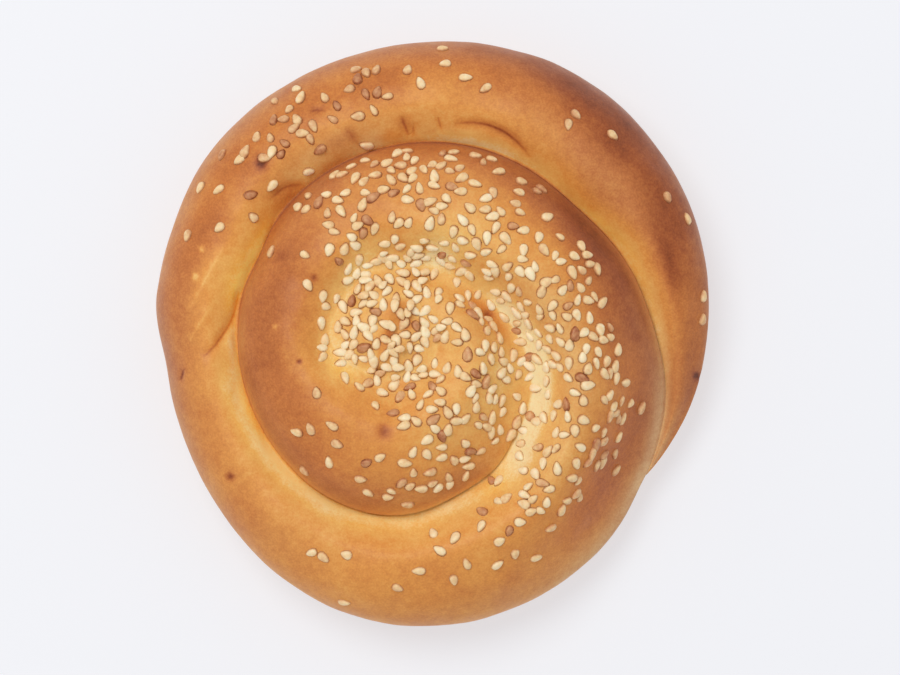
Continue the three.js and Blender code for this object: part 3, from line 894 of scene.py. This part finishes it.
def seed_drop():
    """One seed as a dome on a grid of rings and sides. Seen from above, a ring is the oval
    (L/2·cos φ, W/2·sin φ) whose sides narrow by 1 - point·(x/L + ½), and it shrinks by the cosine of its
    height's turn while it rises by T/2 times the sine. The outermost ring is the brim, and a vertex closes
    the dome above and below."""
    around = 2 * np.pi * np.arange(SEED_SIDES) / SEED_SIDES
    narrowing = (1 - SEED_POINT * (np.cos(around) + 1) / 2) / (1 - SEED_POINT / 2)
    oval = np.stack([np.cos(around) * SEED_LENGTH, np.sin(around) * narrowing * SEED_WIDTH], axis=-1) / 2
    turned = np.radians(SEED_RING_TURNS)[:, None]
    rings = np.empty((len(SEED_RING_TURNS) + 1, SEED_SIDES, 3))
    rings[:-1, :, :2] = oval * np.cos(turned)[..., None]
    rings[:-1, :, 2] = np.sin(turned) * SEED_THICKNESS / 2
    rings[-1, :, :2] = oval
    rings[-1, :, 2] = 0
    poles = np.array([[0, 0, SEED_THICKNESS / 2], [0, 0, -SEED_THICKNESS / 2]])
    ids = np.arange(rings.shape[0] * SEED_SIDES).reshape(-1, SEED_SIDES)
    after = np.roll(ids, -1, axis=1)
    top = np.full(SEED_SIDES, ids.size)
    ring_toast_and_shade = np.zeros(len(rings))
    ring_toast_and_shade[-2] = SEED_RIM_TOAST_AND_SHADE
    return Drop(
        points=np.concatenate([rings.reshape(-1, 3), poles]),
        quads=np.stack([ids[:-1], ids[1:], after[1:], after[:-1]], axis=-1).reshape(-1, 4),
        triangles=np.concatenate(
            [np.stack([top, ids[0], after[0]], axis=-1), np.stack([top + 1, after[-1], ids[-1]], axis=-1)]
        ),
        brim=slice(ids[-1, 0], ids.size),
        toast_and_shade=np.append(np.repeat(ring_toast_and_shade, SEED_SIDES), np.zeros(len(poles))),
    )


def seed_layers(point):
    """The layer that each seed lies in: 0 on the crust, or one more than the highest earlier seed under
    it, up to the top layer."""
    apart = np.linalg.norm(point[:, None] - point[None], axis=-1)
    under = np.tril(apart < SEED_LAYER_REACH, -1)
    layer = np.zeros(len(point))
    for _ in range(SEED_TOP_LAYER):
        layer = np.minimum(SEED_TOP_LAYER, (under * (layer + 1)).max(axis=1))
    return layer


def seed_surface(seeds):
    """All seeds as one mesh: the drop, stretched by each seed's own size, rolled about its length, pitched
    where it lies on others, and set along its heading on the crust, partly sunk and raised by its layer.
    The brim of a seed that lies on the crust runs out to the crust all round it, and that of a seed on
    other seeds is tucked in under it."""
    drop = seed_drop()
    drawn = np.random.default_rng(SEED_SHAPE_SEED)
    shape = 1 + SEED_SHAPE_SPREAD * drawn.uniform(-1, 1, (len(seeds.size), 3))
    layer = seed_layers(seeds.point)
    pitch = np.radians(SEED_LAYER_TILT * layer * drawn.uniform(-1, 1, len(layer)))[:, None]

    step = SLOPE_STEP_ANGLE
    along = skin(seeds.angle + step, seeds.share) - skin(seeds.angle - step, seeds.share)
    step = SLOPE_STEP_SHARE
    across = skin(seeds.angle, seeds.share + step) - skin(seeds.angle, seeds.share - step)
    up = unit(np.cross(along, across))
    turned = np.radians(seeds.heading)
    heading = np.stack([np.cos(turned), np.sin(turned), np.zeros_like(turned)], axis=-1)
    side = unit(np.cross(up, heading))
    ahead = np.cross(side, up)

    local = drop.points * (shape * seeds.size[:, None])[:, None]
    roll = np.radians(seeds.roll)[:, None]
    y = local[..., 1] * np.cos(roll) - local[..., 2] * np.sin(roll)
    z = local[..., 1] * np.sin(roll) + local[..., 2] * np.cos(roll)
    x = local[..., 0] * np.cos(pitch) - z * np.sin(pitch)
    z = local[..., 0] * np.sin(pitch) + z * np.cos(pitch)
    height = SEED_THICKNESS * (0.5 - SEED_SUNK) * seeds.size
    on_crust = layer[:, None] == 0
    rim = np.hypot(local[:, drop.brim, 0], local[:, drop.brim, 1])
    spread = np.where(on_crust, 1 + BRIM_WIDTH / rim, TUCKED_BRIM)
    x[:, drop.brim] *= spread
    y[:, drop.brim] *= spread
    z[:, drop.brim] = np.where(on_crust, -height[:, None] - BRIM_SUNK, z[:, drop.brim] - BRIM_SUNK)

    lift = height + relief(seeds.point, seeds.angle, seeds.share) + layer * SEED_LAYER_HEIGHT
    middle = seeds.point + up * lift[:, None]
    points = middle[:, None]
    for way, reach in ((ahead, x), (side, y), (up, z)):
        points = points + reach[..., None] * way[:, None]
    first = np.arange(len(points))[:, None, None] * len(drop.points)
    faces = (drop.quads + first).reshape(-1, 4).tolist() + (drop.triangles + first).reshape(-1, 3).tolist()
    return points.reshape(-1, 3), faces


def seed_toast_and_shade(seeds):
    """How toasted each point of each seed is: mostly a little and more on browner crust, some well, and
    most of those in the scorched handful, with a rim darkened partly as painted shade and a brim brown as
    baked wash and as painted contact shadow."""
    drawn = np.random.default_rng(SEED_TOAST_SEED)
    count = len(seeds.size)
    below = bake_and_shade(seeds.point, seeds.angle, seeds.share)
    pale = drawn.uniform(*PALE_TOAST, count) + CRUST_TOAST * np.maximum(0, below - CRUST_TOAST_FROM)
    dark = drawn.uniform(*DARK_TOAST, count)
    scorched = covering(SCORCHED_HANDFUL, seeds.point[:, 0], seeds.point[:, 1])
    own = np.where(drawn.uniform(0, 1, count) < TOAST_SHARE + scorched, dark, pale)
    drop = seed_drop()
    toast_and_shade = own[:, None] + drop.toast_and_shade
    toast_and_shade[:, drop.brim] = BRIM_WASH_AND_SHADE
    return toast_and_shade


def make_piece(name, points, faces, finish):
    """A smooth mesh at the origin, with its place in its vertices, in metres."""
    mesh = bpy.data.meshes.new(name)
    mesh.from_pydata((points * MILLIMETRE).tolist(), [], faces)
    mesh.polygons.foreach_set("use_smooth", np.ones(len(mesh.polygons), bool))
    mesh.materials.append(finish)
    mesh.update()
    piece = bpy.data.objects.new(name, mesh)
    bpy.context.scene.collection.objects.link(piece)
    return piece


def set_attribute(piece, name, values):
    """A number at each vertex, for the finish to read."""
    attribute = piece.data.attributes.new(name, "FLOAT", "POINT")
    attribute.data.foreach_set("value", values.astype(np.float32))


def linear(red, green, blue):
    """A screen colour from 0 to 255 as the linear light that shaders take, by the sRGB curve."""
    screen = np.array([red, green, blue]) / 255
    light = np.where(screen <= 0.04045, screen / 12.92, ((screen + 0.055) / 1.055) ** 2.4)
    return (*light.tolist(), 1.0)


class NodeSheet:
    """The node tree of a new material, with short calls to add a node and join it to others."""

    def __init__(self, name):
        self.finish = bpy.data.materials.new(name)
        self.finish.use_nodes = True
        self.tree = self.finish.node_tree
        self.shader = self.tree.nodes["Principled BSDF"]

    def set(self, made, values):
        """Sets each named socket to a number or colour, or joins it to another node's socket."""
        for socket, value in values.items():
            if isinstance(value, bpy.types.NodeSocket):
                self.tree.links.new(value, made.inputs[socket])
            else:
                made.inputs[socket].default_value = value

    def add(self, kind, values, **settings):
        """A new node with its settings and its sockets."""
        made = self.tree.nodes.new(kind)
        for setting, value in settings.items():
            setattr(made, setting, value)
        self.set(made, values)
        return made

    def math(self, operation, first, second):
        """A sum, product or other operation on two numbers."""
        return self.add("ShaderNodeMath", {0: first, 1: second}, operation=operation).outputs[0]

    def noise(self, place, noise):
        """A raw noise from 0 to 1."""
        values = {"Vector": place, "Scale": noise.scale, "Detail": noise.detail}
        return self.add("ShaderNodeTexNoise", values).outputs["Fac"]

    def spread(self, place, noise):
        """A noise moved in a straight line from its range to its own values."""
        values = {
            "Value": self.noise(place, noise),
            "From Min": NOISE_RANGE.start,
            "From Max": NOISE_RANGE.end,
            "To Min": noise.values.start,
            "To Max": noise.values.end,
        }
        return self.add("ShaderNodeMapRange", values).outputs["Result"]

    def attribute(self, name):
        """A number that the mesh holds at each vertex."""
        return self.add("ShaderNodeAttribute", {}, attribute_name=name).outputs["Fac"]

    def bump(self, height, strength, distance):
        """The direction of a surface that a height makes uneven."""
        values = {"Height": height, "Strength": strength, "Distance": distance}
        return self.add("ShaderNodeBump", values).outputs["Normal"]

    def mix(self, share, first, second):
        """The first colour where share is 0, the second where it is 1, and a straight run between them."""
        values = {"Factor": share, MIX_FIRST: first, MIX_SECOND: second}
        return self.add("ShaderNodeMix", values, data_type="RGBA").outputs[MIX_RESULT]

    def ramp(self, value, stops):
        """A colour that slides through the stops, each a place from 0 to 1 and a colour."""
        made = self.add("ShaderNodeValToRGB", {"Fac": value})
        elements = made.color_ramp.elements
        while len(elements) < len(stops):
            elements.new(1.0)
        for element, (place, colour) in zip(elements, stops):
            element.position = place
            element.color = colour
        return made.outputs["Color"]


# The colours at depths of the bake: of the common crust, of patches under a painted sheen, dulled as by a
# grazing reflection, and of golden patches, and of seeds by their toast, which on their rims and brims is
# partly painted shade.
CRUST_STOPS = (
    (0.0, linear(248, 226, 172)),
    (0.2, linear(240, 190, 110)),
    (0.42, linear(226, 153, 76)),
    (0.6, linear(201, 121, 60)),
    (0.8, linear(164, 86, 44)),
    (1.0, linear(114, 52, 26)),
)
PAINTED_SHEEN_STOPS = (
    (0.0, linear(236, 212, 176)),
    (0.2, linear(222, 182, 136)),
    (0.42, linear(200, 146, 102)),
    (0.6, linear(176, 114, 80)),
    (0.8, linear(144, 82, 56)),
    (1.0, linear(104, 54, 36)),
)
GOLD_STOPS = (
    (0.0, linear(255, 222, 120)),
    (0.2, linear(254, 191, 70)),
    (0.42, linear(243, 154, 46)),
    (0.6, linear(217, 123, 38)),
    (0.8, linear(180, 85, 28)),
    (1.0, linear(120, 52, 20)),
)
SEED_STOPS = (
    (0.0, linear(252, 233, 195)),
    (0.3, linear(241, 205, 152)),
    (0.55, linear(214, 157, 108)),
    (0.8, linear(172, 102, 64)),
    (1.0, linear(104, 54, 38)),
)


def crust_finish():
    """Baked crust: the depth of the bake, with its painted shade, picks the colour, blotched at several
    scales, with painted shade along the folds' thin lines and painted highlights along ridges, and a
    painted sheen or a golden tint where the patches give one, under a thin egg wash with a fine grain."""
    sheet = NodeSheet("crust")
    place = sheet.add("ShaderNodeTexCoord", {}).outputs["Object"]
    # The folds' thin lines: painted shade, or a painted highlight where negative, falling off across each
    # line.
    away = sheet.math("DIVIDE", sheet.attribute("line_across"), LINE_WIDTH)
    falling = sheet.math("POWER", 1 / np.e, sheet.math("MULTIPLY", away, away))
    depth = sheet.math("ADD", sheet.attribute("bake_and_shade"), sheet.spread(place, BLOTCH))
    depth = sheet.math("ADD", depth, sheet.spread(place, MOTTLE))
    depth = sheet.math("ADD", depth, sheet.spread(place, SPECK))
    depth = sheet.math("ADD", depth, sheet.math("MULTIPLY", sheet.attribute("line_shade_and_highlight"), falling))
    painted_sheen = sheet.attribute("sheen_and_gold")
    # Painted sheen: where positive the crust slides to the dulled colours of a grazing reflection, where
    # negative to the golden ones.
    golden = sheet.math("MULTIPLY", painted_sheen, -1.0)
    colour = sheet.mix(golden, sheet.ramp(depth, CRUST_STOPS), sheet.ramp(depth, GOLD_STOPS))
    colour = sheet.mix(painted_sheen, colour, sheet.ramp(depth, PAINTED_SHEEN_STOPS))
    fine_grain = sheet.math("MULTIPLY", sheet.noise(place, FINE_GRAIN), FINE_GRAIN_SHARE)
    grain = sheet.math("ADD", sheet.noise(place, GRAIN), fine_grain)
    sheet.set(sheet.shader, {
        "Base Color": colour,
        "Roughness": sheet.spread(place, GLOSS),
        "Normal": sheet.bump(grain, strength=0.35, distance=0.00012),
        "Specular IOR Level": 0.18,
        "Subsurface Weight": 0.08,
        "Subsurface Radius": (1.0, 0.5, 0.25),
        "Subsurface Scale": 0.002,
        "Coat Weight": 0.05,
        "Coat Roughness": 0.35,
        "Sheen Weight": 0.05,
        "Sheen Roughness": 0.45,
        "Sheen Tint": (1.0, 0.95, 0.9, 1.0),
    })
    return sheet.finish


def sesame_finish():
    """Hulled sesame: cream to toasted brown, each seed by its own toast, with painted shade in part on its
    rim and brim, and a faint mottle.
    """
    sheet = NodeSheet("sesame")
    place = sheet.add("ShaderNodeTexCoord", {}).outputs["Object"]
    toast_and_shade = sheet.math("ADD", sheet.attribute("toast_and_shade"), sheet.spread(place, SEED_MOTTLE))
    sheet.set(sheet.shader, {
        "Base Color": sheet.ramp(toast_and_shade, SEED_STOPS),
        "Roughness": 0.45,
        "Normal": sheet.bump(sheet.noise(place, SEED_GRAIN), strength=0.25, distance=0.0001),
        "Specular IOR Level": 0.35,
        "Subsurface Weight": 0.1,
        "Subsurface Radius": (1.0, 0.6, 0.3),
        "Subsurface Scale": 0.0006,
    })
    return sheet.finish


def floor_finish():
    """Plain matt white, lit a little from below so that shadows stay faint."""
    sheet = NodeSheet("floor")
    sheet.set(sheet.shader, {
        "Base Color": (0.36, 0.37, 0.385, 1.0),
        "Roughness": 0.9,
        "Specular IOR Level": 0.1,
        "Emission Color": (0.954, 0.948, 0.987, 1.0),
        "Emission Strength": 0.57,
    })
    return sheet.finish


def make_floor():
    """A wide flat square just under the base."""
    half = FLOOR_SIZE / 2
    corners = np.array([[-half, -half], [half, -half], [half, half], [-half, half]])
    points = np.column_stack([corners, np.full(4, -FLOOR_GAP)])
    floor = make_piece("floor", points, [[0, 1, 2, 3]], floor_finish())


def make_light():
    """An even white surround and one broad soft lamp from the upper left."""
    world = bpy.data.worlds.new("studio")
    world.use_nodes = True
    background = world.node_tree.nodes["Background"]
    background.inputs["Color"].default_value = (0.96, 0.98, 1.0, 1.0)
    background.inputs["Strength"].default_value = 0.62
    bpy.context.scene.world = world
    lamp = bpy.data.lights.new("soft_lamp", "AREA")
    lamp.shape = "DISK"
    lamp.size = LAMP_BREADTH * MILLIMETRE
    lamp.energy = 6.2
    lamp.color = (1.0, 0.985, 0.96)
    holder = bpy.data.objects.new("soft_lamp", lamp)
    holder.location = np.array(LAMP_PLACE) * MILLIMETRE
    holder.rotation_euler = np.radians(LAMP_TILT)
    bpy.context.scene.collection.objects.link(holder)


def make_camera():
    """A long lens straight above, as wide as the picture on the outline's level."""
    camera = bpy.data.cameras.new("camera")
    camera.sensor_width = SENSOR_WIDTH
    camera.lens = SENSOR_WIDTH * CAMERA_HEIGHT / VIEW_WIDTH
    camera.clip_end = CAMERA_REACH * MILLIMETRE
    holder = bpy.data.objects.new("camera", camera)
    holder.location = np.array([*VIEW_MIDDLE, OUTLINE_RING.z + CAMERA_HEIGHT]) * MILLIMETRE
    bpy.context.scene.collection.objects.link(holder)
    bpy.context.scene.camera = holder


def make_crust():
    """The crust: the rope's surface moved out along its normals by the relief."""
    grid = crust_grid()
    normals = vertex_normals(grid.points, grid.faces)
    points = grid.points + normals * relief(grid.points, grid.angle, grid.share)[:, None]
    crust = make_piece("crust", points, grid.faces, crust_finish())
    set_attribute(crust, "bake_and_shade", bake_and_shade(grid.points, grid.angle, grid.share))
    set_attribute(crust, "sheen_and_gold", sheen_and_gold(grid.angle, grid.share))
    across, change = painted_fold_lines(grid.points, grid.angle, grid.share)
    set_attribute(crust, "line_across", across)
    set_attribute(crust, "line_shade_and_highlight", change)
    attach(crust, "root")
    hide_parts("bun")


def make_sesame():
    """The seeds, as one piece."""
    seeds = scatter_seeds()
    points, faces = seed_surface(seeds)
    sesame = make_piece("sesame", points, faces, sesame_finish())
    set_attribute(sesame, "toast_and_shade", seed_toast_and_shade(seeds).ravel())
    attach(sesame, "root")


make_crust()
make_sesame()
make_floor()
make_light()
make_camera()
bpy.context.scene.view_settings.view_transform = "Standard"
